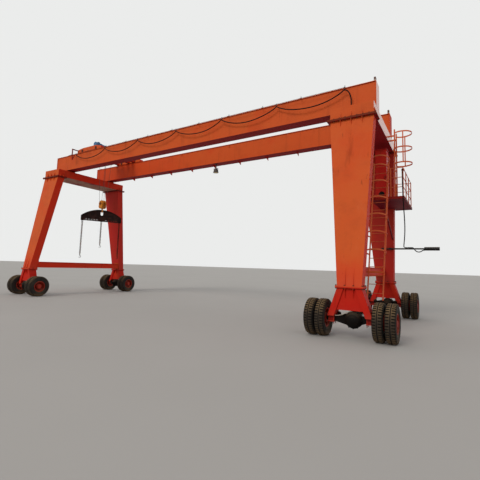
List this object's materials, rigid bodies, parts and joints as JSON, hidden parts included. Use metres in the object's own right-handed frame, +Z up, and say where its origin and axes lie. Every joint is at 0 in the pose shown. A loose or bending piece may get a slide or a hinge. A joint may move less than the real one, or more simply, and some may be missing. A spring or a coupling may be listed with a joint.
{
  "type": "rubber tyred gantry crane",
  "caption": "Rubber tyred gantry crane: twin box girders on tapered legs with dual-tyred axles, an open winch trolley, a hook with a spreader beam, and a caged ladder to a landing.",
  "frame": {"origin": "ground level, at the middle of the whole crane's outline seen from above", "axes": "+X along the girders towards the ladder side, +Y from the front girder to the rear girder, +Z up"},
  "size_m": [20.6628, 6.9348, 8.85],
  "materials": {
    "orange_paint": "faded gloss",
    "red_paint": "faded gloss",
    "black_steel": "dusty",
    "tyre_rubber": "dusty",
    "wheel_paint": "worn",
    "bare_steel": "worn",
    "cable_rubber": "matt",
    "motor_blue": "dusty",
    "hook_yellow": "worn",
    "rusty_steel": "rusted",
    "lamp_grey": "weathered",
    "rope_steel": "greased"
  },
  "bodies": {
    "crane_frame": {"front_girder": "orange_paint", "rear_girder": "orange_paint", "trolley_rails": "bare_steel", "right_cross_beam": "orange_paint", "left_cross_beam": "orange_paint", "right_tie_beam": "orange_paint", "left_tie_beam": "orange_paint", "access_ladder": "orange_paint", "access_cage": "orange_paint", "upper_ladder": "orange_paint", "upper_cage": "orange_paint", "landing": "orange_paint", "landing_railing": "orange_paint", "control_cabinet": "red_paint", "cable_arm": "black_steel", "supply_cable": "cable_rubber", "floodlight": "lamp_grey", "festoon_line": "black_steel", "festoon_cable": "cable_rubber", "front_right_leg": "orange_paint", "front_right_bogie": "red_paint", "front_right_axle": "black_steel", "rear_right_leg": "orange_paint", "rear_right_bogie": "red_paint", "rear_right_axle": "black_steel", "front_left_leg": "orange_paint", "front_left_bogie": "red_paint", "front_left_axle": "black_steel", "rear_left_leg": "orange_paint", "rear_left_bogie": "red_paint", "rear_left_axle": "black_steel"},
    "front_right_wheels": {"front_right_rims": "wheel_paint", "front_right_tyres": "tyre_rubber"},
    "rear_right_wheels": {"rear_right_rims": "wheel_paint", "rear_right_tyres": "tyre_rubber"},
    "front_left_wheels": {"front_left_rims": "wheel_paint", "front_left_tyres": "tyre_rubber"},
    "rear_left_wheels": {"rear_left_rims": "wheel_paint", "rear_left_tyres": "tyre_rubber"},
    "trolley": {"trolley_frame": "orange_paint", "trolley_wheels": "bare_steel", "rope_drum": "bare_steel", "hoist_gearbox": "motor_blue", "hoist_motor": "motor_blue", "tow_arm": "orange_paint", "hoist_ropes": "rope_steel"},
    "hook_block": {"hook_block": "hook_yellow"},
    "hook": {"lifting_hook": "hook_yellow", "spreader_beam": "rusty_steel", "lifting_chains": "rusty_steel"}
  },
  "joints": [
    {"name": "front_right_wheels_roll", "type": "hinge", "parent": "crane_frame", "child": "front_right_wheels", "pos_m": [8.27858, -2.94, 0.5275], "axis": [1, 0, 0], "continuous": true},
    {"name": "rear_right_wheels_roll", "type": "hinge", "parent": "crane_frame", "child": "rear_right_wheels", "pos_m": [8.27858, 2.94, 0.5275], "axis": [1, 0, 0], "continuous": true},
    {"name": "front_left_wheels_roll", "type": "hinge", "parent": "crane_frame", "child": "front_left_wheels", "pos_m": [-9.10141, -2.94, 0.5275], "axis": [1, 0, 0], "continuous": true},
    {"name": "rear_left_wheels_roll", "type": "hinge", "parent": "crane_frame", "child": "rear_left_wheels", "pos_m": [-9.10141, 2.94, 0.5275], "axis": [1, 0, 0], "continuous": true},
    {"name": "trolley_travel", "type": "slide", "parent": "crane_frame", "child": "trolley", "axis": [1, 0, 0], "range_m": [-0.3, 13.6]},
    {"name": "hoist", "type": "slide", "parent": "trolley", "child": "hook_block", "axis": [0, 0, 1], "range_m": [-1.9, 1.6], "deforming": ["hoist_ropes"]},
    {"name": "hook_swivel", "type": "hinge", "parent": "hook_block", "child": "hook", "pos_m": [-7.21141, 0, 5.12], "axis": [0, 0, 1], "continuous": true}
  ]
}
